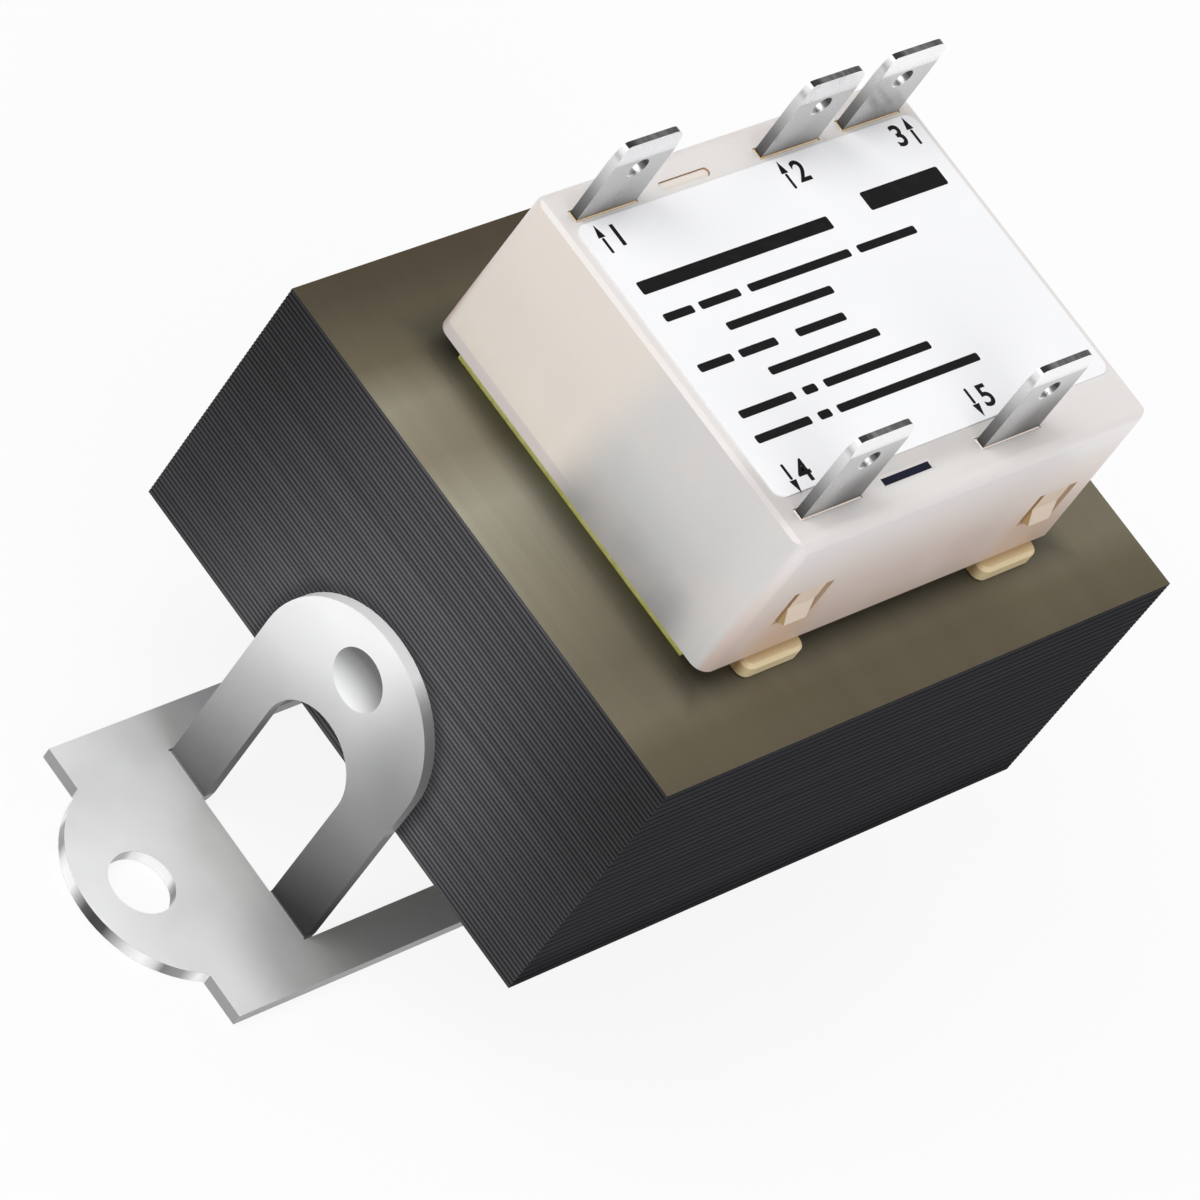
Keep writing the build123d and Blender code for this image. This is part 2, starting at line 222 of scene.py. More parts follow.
coreLow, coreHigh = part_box("e_lamination_stack")
tongueArch = {"z": 0.01855, "radius": 0.00905}      # the round top of a bracket tongue, seen along X
coreSettings = {
    "sheetCount": 60,
    "halfDepth": 0.0238,
    "skin": 0.00003,                    # points this close to the top or bottom lie on the outer sheets
    "Roughness": 0.5,
    "Specular IOR Level": 0.0,
    "topMetal": 0.55,
    "sheetTone": tone(106, 106, 108),
    "jointTone": tone(58, 58, 60),
    "coarseSheetTone": tone(62, 62, 65),
    "coarseJointTone": tone(36, 36, 39),
    "underTone": grey(104),
    # the shadow round the foot of the cover: where the foot ends, how far and how strong the shadow is
    "contactTone": tone(60, 61, 54),
    "coverFoot": {"x": 0.0196, "y": 0.0165, "reach": 0.0030, "strength": 0.62},
    # painted glare bands of the brushed top, from -Y to +Y
    "topGlareStops": (
        (0.0, tone(95, 88, 72)), (0.07, tone(103, 96, 79)), (0.125, tone(120, 113, 96)),
        (0.23, tone(121, 114, 97)), (0.34, tone(137, 130, 112)), (0.44, tone(150, 144, 127)),
        (0.545, tone(163, 160, 144)), (0.65, tone(139, 132, 115)), (0.75, tone(146, 141, 124)),
        (0.83, tone(104, 97, 80)), (0.96, tone(80, 73, 60)), (1.0, tone(78, 70, 57)),
    ),
}


def makeCoreSteel():
    core = Finish("laminationSteel", coreSettings)
    tree = core.tree
    pitch = (coreHigh.z - coreLow.z) / coreSettings["sheetCount"]
    halfDepth = coreSettings["halfDepth"]

    # how far across its sheet a point lies: 0 at a joint, 1 in the middle
    def sheetWave(period, sharp):
        turn = calc(tree, "DIVIDE", calc(tree, "SUBTRACT", core.z, coreLow.z), period)
        return rise(tree, offFrom(tree, calc(tree, "FRACT", turn), 0.5), 0.5, sharp)

    fine = mixTones(tree, sheetWave(pitch, 0.12), coreSettings["jointTone"], coreSettings["sheetTone"])
    coarse = mixTones(tree, sheetWave(2 * pitch, 0.1), coreSettings["coarseJointTone"],
                      coreSettings["coarseSheetTone"])
    onEndFace = rise(tree, core.toY, 0.3, 0.6)
    side = mixTones(tree, onEndFace, fine, coarse)

    # painted shade and light: the sides with the tongues are lighter in their middle and low down, the end
    # faces darker low down
    across = calc(tree, "ABSOLUTE", calc(tree, "DIVIDE", core.y, halfDepth))
    middle = rise(tree, across, 0.1, 1.0, 1.0, 0.42)
    lower = rise(tree, core.z, coreHigh.z, coreLow.z, 0.72, 1.12)
    fade = calc(tree, "MULTIPLY", middle, lower)
    endFade = rise(tree, core.z, coreLow.z, coreLow.z + 0.005, 0.6, 1.0)
    onTongueSide = calc(tree, "SUBTRACT", 1.0, onEndFace)
    fade = calc(tree, "MULTIPLY_ADD", calc(tree, "SUBTRACT", fade, endFade), onTongueSide, endFade)
    streaks = speckle(tree, core.place, 900, 3, (0.05, 0.05, 3.0))
    fade = calc(tree, "MULTIPLY", fade, rise(tree, streaks, 0.2, 0.8, 0.84, 1.16))

    # painted contact shadow round the welded tongues
    above = calc(tree, "MAXIMUM", calc(tree, "SUBTRACT", core.z, tongueArch["z"]), 0.0)
    fromArch = calc(tree, "SUBTRACT", reach(tree, above, core.y), tongueArch["radius"])
    nearArch = rise(tree, fromArch, 0.0015, 0.0002, 0.0, 0.32)
    archShadow = calc(tree, "MULTIPLY", nearArch, rise(tree, core.toX, 0.5, 0.9))
    side = dim(tree, side, calc(tree, "MULTIPLY", fade, calc(tree, "SUBTRACT", 1.0, archShadow)))

    # the brushed top sheet, with painted glare bands across it
    brush = speckle(tree, core.place, 1000, 4, (3.0, 0.05, 1.0), 0.6)
    wide = speckle(tree, core.place, 120, 2, (3.0, 0.12, 1.0))
    top = toneRamp(tree, share(tree, core.y, -halfDepth, halfDepth), coreSettings["topGlareStops"])
    fineGrain = rise(tree, brush, 0.3, 0.7, 0.965, 1.035)
    grain = calc(tree, "MULTIPLY", fineGrain, rise(tree, wide, 0.3, 0.7, 0.97, 1.03))
    top = dim(tree, top, grain)

    foot = coreSettings["coverFoot"]
    aside = calc(tree, "SUBTRACT", calc(tree, "ABSOLUTE", core.x), foot["x"])
    ahead = calc(tree, "SUBTRACT", calc(tree, "ABSOLUTE", core.y), foot["y"])
    nearCover = rise(tree, calc(tree, "MAXIMUM", aside, ahead), foot["reach"], 0.0, 0.0, foot["strength"])
    top = mixTones(tree, nearCover, top, coreSettings["contactTone"])
    top = mixTones(tree, rise(tree, core.faceZ, -0.5, -0.9), top, coreSettings["underTone"])
    skin = coreSettings["skin"]
    flat = calc(tree, "SUBTRACT", 1.0, between(tree, core.z, coreLow.z + skin, coreHigh.z - skin))
    core.colour(mixTones(tree, flat, side, top))
    core.metal(calc(tree, "MULTIPLY", flat, coreSettings["topMetal"]))
    core.roughness(rise(tree, brush, 0.2, 0.8, 0.42, 0.56))
    core.bump(brush, 0.1, 0.00004)
    core.give("e_lamination_stack", "i_lamination_stack")


makeCoreSteel()
print("core steel done")


# bracket: zinc plating, with painted shade in the bends and under the core, and sheared edges with painted
# reflections and highlights

zincSettings = {
    "Metallic": 0.3,
    "Roughness": 0.42,
    "Specular IOR Level": 0.3,
    # painted shade and light, from the bend up to the crown of a tongue
    "tongueStops": (
        (0.0, grey(48)), (0.12, grey(80)), (0.3, grey(118)), (0.45, grey(150)),
        (0.62, grey(187)), (0.8, grey(225)), (1.0, grey(250)),
    ),
    # painted shade, from under the core out to the rim of an ear
    "plateStops": (
        (0.0, tone(180, 180, 192)), (0.175, tone(182, 182, 190)), (0.316, tone(182, 182, 188)),
        (0.456, grey(199)), (0.56, grey(232)), (0.667, grey(243)), (1.0, grey(251)),
    ),
    "underTone": grey(196),
    "edgeTone": grey(158),
    "sheet": (0.00001, 0.00109),        # heights just inside the two faces of the sheet
    "tongueFoot": 0.0014,
    # the middle of an ear and of its hole, and how far from it the rim lies
    "ear": {"x": 0.0357, "rim": (0.00935, 0.0097)},
    "hole": {"x": 0.0397, "rim": (0.0, 0.0030)},
    # painted reflection bands round the rim of an ear, from its +Y side to its -Y side
    "earStops": (
        (0.0, grey(212)), (0.18, grey(224)), (0.225, grey(248)), (0.25, grey(166)), (0.31, grey(152)),
        (0.345, grey(236)), (0.38, grey(255)), (0.43, grey(252)), (0.46, grey(190)), (0.495, grey(84)),
        (0.53, grey(58)), (0.57, grey(72)), (0.605, grey(170)), (0.645, grey(232)), (0.69, grey(255)),
        (0.725, grey(222)), (0.75, grey(128)), (0.8, grey(156)), (0.845, grey(255)), (0.88, grey(226)),
        (0.93, grey(206)), (1.0, grey(192)),
    ),
    # painted reflection bands round the wall of a mounting hole, the same way
    "holeStops": (
        (0.0, grey(176)), (0.07, grey(186)), (0.13, grey(240)), (0.25, grey(255)), (0.56, grey(252)),
        (0.63, grey(180)), (0.69, grey(140)), (0.76, grey(138)), (0.82, grey(206)), (1.0, grey(220)),
    ),
    # painted highlight and shade round the rim of a tongue, from its foot on the +Y side over the crown to
    # its foot on the -Y side
    "tongueRimStops": (
        (0.08, grey(60)), (0.11, grey(100)), (0.19, grey(130)), (0.25, grey(180)), (0.33, grey(255)),
        (0.54, grey(255)), (0.556, grey(252)), (0.572, grey(215)), (0.589, grey(178)), (0.606, grey(150)),
        (0.622, grey(138)), (0.65, grey(127)), (0.7, grey(127)), (0.73, grey(135)), (0.795, grey(150)),
        (0.811, grey(146)), (0.8135, grey(104)), (0.85, grey(96)), (0.871, grey(92)), (0.887, grey(84)),
        (0.9, grey(68)), (0.911, grey(46)), (0.922, grey(26)),
    ),
    # the weld dish, with painted light and shade: its middle, its radius, and how far up and down its tones
    # reach
    "dish": {"y": 0.0003, "z": 0.0225, "radius": 0.00257, "fade": 0.0031},
    "dishStops": (
        (0.0, grey(236)), (0.12, grey(244)), (0.28, grey(216)), (0.5, grey(160)), (0.74, grey(104)),
        (1.0, grey(84)),
    ),
}


def turnRound(tree, finish, middle):
    # how far round a point lies about an upright axis: 0 on the +Y side, 1 on the -Y side
    outward = offFrom(tree, calc(tree, "ABSOLUTE", finish.x), middle)
    return calc(tree, "DIVIDE", calc(tree, "ARCTAN2", outward, finish.y), math.pi)


def fromAxis(tree, finish, middle):
    return reach(tree, calc(tree, "SUBTRACT", calc(tree, "ABSOLUTE", finish.x), middle), finish.y)


def makeZinc():
    zinc = Finish("zincPlating", zincSettings)
    tree = zinc.tree
    outward = calc(tree, "ABSOLUTE", zinc.x)

    # tongues: a painted slanting fade from shade to light, with more painted shade on the side of the
    # secondary terminals
    slant = calc(tree, "MULTIPLY_ADD", zinc.y, 0.45, zinc.z)
    tongue = toneRamp(tree, share(tree, slant, -0.001, 0.027), zincSettings["tongueStops"])
    secondaryShade = calc(tree, "MULTIPLY", rise(tree, zinc.z, 0.010, 0.021), rise(tree, zinc.y, 0.001, -0.008))
    tongue = dim(tree, tongue, rise(tree, secondaryShade, 0.0, 1.0, 1.0, 0.62))

    # weld dish: painted light low down, painted shade at its top
    dish = zincSettings["dish"]
    height = share(tree, zinc.z, dish["z"] - dish["fade"], dish["z"] + dish["fade"])
    upright = calc(tree, "SUBTRACT", zinc.z, dish["z"])
    aside = calc(tree, "SUBTRACT", zinc.y, dish["y"])
    inDish = calc(tree, "LESS_THAN", reach(tree, upright, aside), dish["radius"])
    tongue = mixTones(tree, inDish, tongue, toneRamp(tree, height, zincSettings["dishStops"]))

    # flat sheet, with painted shade under the core and on the side of the secondary terminals
    plate = toneRamp(tree, share(tree, outward, 0.015, 0.0435), zincSettings["plateStops"])
    front = calc(tree, "MULTIPLY", rise(tree, zinc.y, 0.001, -0.011), rise(tree, outward, 0.040, 0.031))
    plate = dim(tree, plate, rise(tree, front, 0.0, 1.0, 1.0, 0.62))
    base = mixTones(tree, rise(tree, zinc.faceZ, 0.9, 0.98), tongue, plate)
    base = mixTones(tree, rise(tree, zinc.faceZ, -0.5, -0.9), base, zincSettings["underTone"])

    # cut edges: even along the straight sides, with painted reflection bands round every curve and a painted
    # highlight and shade round the tongue rims
    onWall = calc(tree, "LESS_THAN", calc(tree, "ABSOLUTE", zinc.faceZ), 0.5)
    plateEdge = calc(tree, "MULTIPLY", between(tree, zinc.z, *zincSettings["sheet"]), onWall)
    base = mixTones(tree, plateEdge, base, zincSettings["edgeTone"])
    for curve in ("ear", "hole"):
        middle, rim = zincSettings[curve]["x"], zincSettings[curve]["rim"]
        onRim = between(tree, fromAxis(tree, zinc, middle), *rim)
        bands = toneRamp(tree, turnRound(tree, zinc, middle), zincSettings[curve + "Stops"])
        base = mixTones(tree, calc(tree, "MULTIPLY", onRim, plateEdge), base, bands)
    aboveBend = calc(tree, "GREATER_THAN", zinc.z, zincSettings["tongueFoot"])
    tongueEdge = calc(tree, "MULTIPLY", aboveBend, calc(tree, "LESS_THAN", zinc.toX, 0.2))
    overArch = calc(tree, "SUBTRACT", zinc.z, tongueArch["z"])
    roundArch = calc(tree, "ARCTAN2", calc(tree, "MULTIPLY", zinc.y, -1.0), overArch)
    tongueRim = toneRamp(tree, share(tree, roundArch, -math.pi, math.pi), zincSettings["tongueRimStops"])
    base = mixTones(tree, tongueEdge, base, tongueRim)
    besideCore = calc(tree, "MULTIPLY", tongueEdge, calc(tree, "GREATER_THAN", zinc.z, coreLow.z))
    zinc.metal(rise(tree, besideCore, 0.0, 1.0, zincSettings["Metallic"], 0.0))

    cloud = speckle(tree, zinc.place, 130, 3)
    grain = speckle(tree, zinc.place, 1600, 3, (1.0, 0.35, 1.0))
    zinc.colour(dim(tree, base, rise(tree, cloud, 0.3, 0.7, 0.97, 1.03)))
    zinc.roughness(rise(tree, cloud, 0.3, 0.7, 0.38, 0.48))
    zinc.bump(grain, 0.08, 0.00002)
    zinc.give("mounting_bracket")


makeZinc()
print("zinc plating done")


# push-on tabs: blades with rounded tips, bright tin outside with painted light and shade, and dark across
# the tip

tabSettings = {
    # all in millimetres
    "wide": 6.35,
    "thick": 0.8,
    "tipThick": 0.5,
    "bevelHigh": (1.9, 2.3),            # front row, back row
    "corners": (0.55, 1.15),            # at the tip, on the -X and on the +X side
    "holeRadius": 0.88,
    "holeBelowTip": 3.25,
    "rimBevel": 0.08,
    "ear": (54.15, 55.45),              # lowest and highest, inside the cover
    # where the blade fills its slot in the cover, how much it swells there, and how soon
    "seat": {"z": (56.0, 56.95), "swell": 0.11, "slope": 0.05},
    "slack": 0.01,                      # for telling points by their place
}

tinSettings = {
    "Metallic": 0.6,
    "Roughness": 0.3,
    # painted shade and light, from the cover's top to the start of the bevel
    "faceStops": ((0.0, grey(162)), (0.2, grey(172)), (0.6, grey(182)), (1.0, grey(192))),
    # painted highlight, from the start of the bevel to the tip
    "bevelStops": ((0.0, grey(192)), (0.16, grey(244)), (0.4, grey(255)), (1.0, grey(255))),
    # painted shade and highlights up the narrow side of the blade
    "sideStops": (
        (0.0, grey(74)), (0.3, grey(124)), (0.6, grey(196)), (0.8, grey(224)), (0.86, grey(190)),
        (0.92, grey(240)), (1.0, grey(250)),
    ),
    # across the sheared tip from -X to +X
    "tipStops": ((0.0, grey(18)), (0.1, grey(40)), (0.26, grey(104)), (0.6, grey(92)), (1.0, grey(62))),
    # painted glints and shade round the hole
    "holeStops": (
        (0.0, grey(250)), (0.2, grey(250)), (0.3, grey(120)), (0.36, grey(250)), (0.42, grey(130)),
        (0.5, grey(60)), (0.6, grey(90)), (0.75, grey(120)), (0.9, grey(190)), (1.0, grey(250)),
    ),
    # where the blade fills its slot: front row, back row
    "seatTones": (tone(225, 214, 204), tone(205, 180, 145)),
}


def tabMiddle(low, high):
    # the ear for the lead reaches inwards, so the middle is told from the blade's outer side
    half = tabSettings["wide"] / 2
    if low.x + high.x > 0:
        return high.x / millimetre - half
    return low.x / millimetre + half


def inRow(low, pair):
    # the first value is for the front row, the second for the back row
    return pair[0] if low.y < 0 else pair[1]


def makeTabMesh(low, high):
    half = tabSettings["wide"] / 2
    middle = tabMiddle(low, high)
    left, right = middle - half, middle + half
    front = (low.y + high.y) / 2 / millimetre - tabSettings["thick"] / 2
    root, tip = low.z / millimetre, high.z / millimetre
    earLow, earHigh = tabSettings["ear"]
    outline = [(left, tip), (left, root), (right, root), (right, tip)]
    earLeft, earRight = low.x / millimetre, high.x / millimetre
    if earLeft < left - tabSettings["slack"]:
        outline[1:1] = [(left, earHigh), (earLeft, earHigh), (earLeft, earLow), (left, earLow)]
    else:
        outline[3:3] = [(right, earLow), (earRight, earLow), (earRight, earHigh), (right, earHigh)]

    mesh = bmesh.new()
    corners = [mesh.verts.new((x, front, z)) for x, z in outline]
    mesh.faces.new(corners)
    for corner, radius in zip((corners[0], corners[-1]), tabSettings["corners"]):
        roundOff(mesh, [corner], radius, 5, "VERTICES")
    bmesh.ops.delete(mesh, geom=mesh.faces[:], context="FACES_ONLY")

    # the outline is filled round the hole, and then given its thickness
    eye = Vector((middle, front, tip - tabSettings["holeBelowTip"]))
    ring = bmesh.ops.create_circle(mesh, segments=40, radius=tabSettings["holeRadius"])["verts"]
    bmesh.ops.rotate(mesh, cent=(0, 0, 0), matrix=Matrix.Rotation(math.pi / 2, 3, "X"), verts=ring)
    bmesh.ops.translate(mesh, vec=eye, verts=ring)
    bmesh.ops.triangle_fill(mesh, edges=mesh.edges[:], use_beauty=True, normal=(0, -1, 0))
    made = bmesh.ops.extrude_face_region(mesh, geom=mesh.faces[:])["geom"]
    moved = [item for item in made if isinstance(item, bmesh.types.BMVert)]
    bmesh.ops.translate(mesh, vec=(0, tabSettings["thick"], 0), verts=moved)
    slack = tabSettings["slack"]

    def onRing(vert):
        away = math.hypot(vert.co.x - eye.x, vert.co.z - eye.z)
        return abs(away - tabSettings["holeRadius"]) < slack

    rim = [edge for edge in mesh.edges if onRing(edge.verts[0]) and onRing(edge.verts[1])]
    rim = [edge for edge in rim if abs(edge.verts[0].co.y - edge.verts[1].co.y) < slack]
    roundOff(mesh, rim, tabSettings["rimBevel"], 2)

    # the bevelled nose, and the seat where the blade fills its slot
    seat = tabSettings["seat"]
    seatLow, seatHigh = seat["z"]
    bevelHigh = inRow(low, tabSettings["bevelHigh"])
    start = tip - bevelHigh
    for level in (start, seatLow - seat["slope"], seatLow, seatHigh, seatHigh + seat["slope"]):
        everything = mesh.verts[:] + mesh.edges[:] + mesh.faces[:]
        bmesh.ops.bisect_plane(mesh, geom=everything, plane_co=(0, 0, level), plane_no=(0, 0, 1))
    slim = tabSettings["tipThick"] / tabSettings["thick"]
    blade = front + tabSettings["thick"] / 2
    for vert in mesh.verts:
        if vert.co.z > start:
            amount = (vert.co.z - start) / bevelHigh
            vert.co.y = blade + (vert.co.y - blade) * (1 + (slim - 1) * amount)
        elif seatLow - slack < vert.co.z < seatHigh + slack:
            vert.co.y += math.copysign(seat["swell"], vert.co.y - blade)
            vert.co.x += math.copysign(seat["swell"], vert.co.x - middle)
    intoMetres(mesh)
    return mesh


def makeTin(node, name):
    low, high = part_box(node)
    tab = newPiece(name, makeTabMesh(low, high))
    tin = Finish("tinPlating_" + name, tinSettings)
    tree = tin.tree
    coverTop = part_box("terminal_cover")[1].z
    bevelStart = high.z - inRow(low, tabSettings["bevelHigh"]) * millimetre
    middle = tabMiddle(low, high) * millimetre
    across = calc(tree, "SUBTRACT", tin.x, middle)
    height = share(tree, tin.z, coverTop, high.z)

    face = toneRamp(tree, share(tree, tin.z, coverTop, bevelStart), tinSettings["faceStops"])
    # the front row is shaded towards its lower +X corner, the back row along its foot
    if low.y < 0:
        shade = calc(tree, "MULTIPLY", rise(tree, across, -0.0032, 0.0022), rise(tree, height, 0.95, 0.1))
        face = dim(tree, face, rise(tree, shade, 0.0, 1.0, 1.16, 0.4))
    else:
        shade = calc(tree, "MULTIPLY", rise(tree, offFrom(tree, across, 0.0003), 0.0034, 0.0),
                     rise(tree, height, 0.55, 0.0))
        face = dim(tree, face, rise(tree, shade, 0.0, 1.0, 1.14, 0.8))
    bevel = toneRamp(tree, share(tree, tin.z, bevelStart, high.z), tinSettings["bevelStops"])
    face = mixTones(tree, calc(tree, "GREATER_THAN", tin.z, bevelStart), face, bevel)
    side = toneRamp(tree, height, tinSettings["sideStops"])
    streaks = speckle(tree, tin.place, 700, 2, (3.0, 0.6, 0.6))
    tip = toneRamp(tree, share(tree, across, -0.0029, 0.0026), tinSettings["tipStops"])
    tip = dim(tree, tip, rise(tree, streaks, 0.35, 0.65, 0.7, 1.3))
    base = mixTones(tree, rise(tree, tin.toY, 0.6, 0.4), face, side)
    atTip = calc(tree, "GREATER_THAN", tin.z, high.z - 0.00015)
    base = mixTones(tree, calc(tree, "MULTIPLY", rise(tree, tin.faceZ, 0.5, 0.8), atTip), base, tip)
    inSlot = calc(tree, "LESS_THAN", tin.z, coverTop + 0.00002)
    base = mixTones(tree, inSlot, base, inRow(low, tinSettings["seatTones"]))

    # painted glints and shade on the rim and wall of the hole
    upright = calc(tree, "SUBTRACT", tin.z, high.z - tabSettings["holeBelowTip"] * millimetre)
    turn = calc(tree, "MULTIPLY_ADD", calc(tree, "ARCTAN2", upright, across), 0.5 / math.pi, 0.5)
    eyeRadius = (tabSettings["holeRadius"] + tabSettings["rimBevel"] + 2 * tabSettings["slack"]) * millimetre
    inEye = calc(tree, "LESS_THAN", reach(tree, upright, across), eyeRadius)
    base = mixTones(tree, inEye, base, toneRamp(tree, turn, tinSettings["holeStops"]))

    drag = speckle(tree, tin.place, 500, 1, (2.0, 2.0, 0.4))
    tin.colour(dim(tree, base, rise(tree, drag, 0.3, 0.7, 0.98, 1.02)))
    tin.roughness(rise(tree, drag, 0.3, 0.7, 0.27, 0.35))
    tin.bump(drag, 0.02, 0.00001)
    tab.data.materials.append(tin.material)
    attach(tab, "root")
    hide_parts(node)


for nodeName in sorted(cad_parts):
    if "_terminal_" in nodeName:
        makeTin(nodeName, nodeName.replace("_terminal_", "_tab_"))
print("tin plating done")


# cover: white nylon that lets a little light through

coverLow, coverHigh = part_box("terminal_cover")
coverSettings = {
    "Roughness": 0.42,
    "Specular IOR Level": 0.4,
    "Subsurface Weight": 0.1,
    "Subsurface Scale": 0.0015,
    "topTone": tone(230, 225, 222),
    "footTone": tone(228, 218, 219),
    "creamTone": tone(232, 223, 213),
    "cornerTone": tone(218, 216, 214),
    "amberTone": tone(214, 176, 138),
    "slotTone": tone(186, 156, 122),
    "windowTone": tone(226, 202, 178),
    "spareSlotShadeTone": tone(30, 32, 66),
    "cloudTone": tone(228, 216, 208),
    # painted shade, from the foot of the wall up to the top, on the end walls and on the long walls beside
    # the coil
    "endStops": (
        (0.0, tone(212, 192, 180)), (0.15, tone(216, 197, 186)), (0.35, tone(216, 199, 190)),
        (0.6, tone(224, 212, 205)), (0.9, tone(232, 227, 226)),
    ),
    "greyStops": (
        (0.0, grey(166)), (0.12, grey(176)), (0.3, tone(199, 199, 198)), (0.55, tone(211, 210, 208)),
        (0.9, tone(216, 213, 211)),
    ),
    "hooksX": (-0.013, 0.0146),
    # inner walls of the hook windows and of the slots, with y counted from the middle to either side
    "halfInside": 0.0183,
    "windows": {"y": (0.0150, 0.0169), "z": (0.0456, 0.0496)},
    "slots": {"y": (0.0131, 0.0149), "z": (0.0559, 0.0572)},
    "spareSlot": {"x": (-0.00858, -0.00312), "y": (-0.01445, -0.01355), "z": (0.0558, 0.05695)},
}


def makeCoverNylon():
    nylon = Finish("coverNylon", coverSettings)
    tree = nylon.tree
    height = share(tree, nylon.z, coverLow.z, coverHigh.z)
    ends = toneRamp(tree, height, coverSettings["endStops"])
    greyWall = toneRamp(tree, height, coverSettings["greyStops"])

    # painted shade turns the plain walls from cream to grey where the dark coil lies behind them
    slant = calc(tree, "MULTIPLY_ADD", nylon.z, 0.08, nylon.y)
    plain = mixTones(tree, rise(tree, nylon.y, -0.0112, -0.0150), greyWall, coverSettings["cornerTone"])
    # painted light makes the cream lighter low down, against the shade of the core
    cream = dim(tree, coverSettings["creamTone"], rise(tree, nylon.z, coverLow.z, 0.050, 1.16, 1.0))
    cream = mixTones(tree, rise(tree, nylon.z, 0.0428, 0.0426, 0.0, 0.85), cream, coverSettings["footTone"])
    walls = mixTones(tree, rise(tree, slant, 0.0070, 0.0022), cream, plain)

    # a painted warm glow round the hooks and feet on the end walls
    glow = None
    for place in coverSettings["hooksX"]:
        near = rise(tree, offFrom(tree, nylon.x, place), 0.0045, 0.0015)
        glow = near if glow is None else calc(tree, "MAXIMUM", glow, near)
    glow = calc(tree, "MULTIPLY", glow, rise(tree, nylon.z, 0.0505, 0.0440, 0.0, 0.5))
    ends = mixTones(tree, glow, ends, coverSettings["amberTone"])
    # painted light: the upper corners are a little lighter
    higher = rise(tree, nylon.z, 0.0440, 0.0510)
    for start, end, gain in ((0.006, 0.019, 0.16), (-0.016, -0.0195, 0.05)):
        corner = calc(tree, "MULTIPLY", rise(tree, nylon.x, start, end), higher)
        ends = dim(tree, ends, calc(tree, "MULTIPLY_ADD", corner, gain, 1.0))

    sides = mixTones(tree, rise(tree, nylon.toY, 0.35, 0.8), walls, ends)
    # painted shade: the top is greyer along the front edge of the label
    labelEdgeShade = allOf(tree, rise(tree, nylon.y, -0.0154, -0.0130), rise(tree, nylon.y, -0.0060, -0.0120),
                    rise(tree, nylon.x, 0.012, 0.004))
    top = dim(tree, coverSettings["topTone"], rise(tree, labelEdgeShade, 0.0, 1.0, 1.0, 0.76))
    base = mixTones(tree, rise(tree, nylon.faceZ, 0.35, 0.8), sides, top)
    cloud = speckle(tree, nylon.place, 160, 3)
    base = mixTones(tree, rise(tree, cloud, 0.4, 0.7, 0.0, 0.22), base, coverSettings["cloudTone"])

    # warm inside the hook windows, painted shade in amber inside the slots, and painted shade in dark blue
    # inside the spare front slot
    fromMiddle = calc(tree, "ABSOLUTE", nylon.y)
    wellInside = calc(tree, "LESS_THAN", calc(tree, "ABSOLUTE", nylon.x), coverSettings["halfInside"])

    def innerWalls(opening, facing):
        limits = coverSettings[opening]
        return allOf(tree, facing, wellInside, between(tree, fromMiddle, *limits["y"]),
                     between(tree, nylon.z, *limits["z"]))

    jamb = calc(tree, "LESS_THAN", nylon.toY, 0.5)
    base = mixTones(tree, innerWalls("windows", jamb), base, coverSettings["windowTone"])
    upright = calc(tree, "LESS_THAN", calc(tree, "ABSOLUTE", nylon.faceZ), 0.3)
    base = mixTones(tree, innerWalls("slots", upright), base, coverSettings["slotTone"])
    spare = calc(tree, "MULTIPLY", upright, nylon.within(coverSettings["spareSlot"]))
    base = mixTones(tree, spare, base, coverSettings["spareSlotShadeTone"])
    nylon.colour(base)
    nylon.roughness(rise(tree, cloud, 0.3, 0.7, 0.38, 0.48))
    nylon.bump(speckle(tree, nylon.place, 2600, 2), 0.12, 0.00003)
    nylon.give("terminal_cover")


makeCoverNylon()
print("cover nylon done")


# blank: the plate that closes the spare slot of the front row, with the shade of its deep opening painted in
# dark blue

blankSettings = {
    "Roughness": 0.45,
    "Specular IOR Level": 0.1,
    "size": (5.7, 1.0, 0.3),            # in millimetres, as its middle and its corner are
    "middle": (-5.9, -14.0, 56.87),
    "corner": 0.03,
    "dark": {"x": (-0.00866, -0.00345), "y": (-0.01438, -0.01376)},
    "rimShare": 0.86,                   # of the tone of the cover's top
    "slotShadeTone": tone(9, 10, 34),
    "wearAndPaleShadeTone": tone(15, 16, 42),
}


def makeBlank():
    mesh = bmesh.new()
    made = bmesh.ops.create_cube(mesh, size=1.0)["verts"]
    bmesh.ops.scale(mesh, vec=blankSettings["size"], verts=made)
    roundOff(mesh, mesh.edges[:], blankSettings["corner"], 2)
    bmesh.ops.translate(mesh, vec=blankSettings["middle"], verts=mesh.verts)
    intoMetres(mesh)
    blank = newPiece("spare_slot_blank", mesh)

    nylon = Finish("blankNylon", blankSettings)
    tree = nylon.tree
    cloud = speckle(tree, nylon.place, 900, 3)
    # painted shade in dark blue, a little mottled, where the slot opens
    blue = mixTones(tree, rise(tree, cloud, 0.4, 0.75), blankSettings["slotShadeTone"], blankSettings["wearAndPaleShadeTone"])
    rim = dim(tree, coverSettings["topTone"], blankSettings["rimShare"])
    nylon.colour(mixTones(tree, nylon.within(blankSettings["dark"]), rim, blue))
    nylon.roughness(rise(tree, cloud, 0.3, 0.7, 0.4, 0.5))
    nylon.bump(cloud, 0.1, 0.00002)
    blank.data.materials.append(nylon.material)
    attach(blank, "root")


makeBlank()
print("blank done")


# bobbin: cream nylon, with painted shade in amber on the hook flanks and the feet

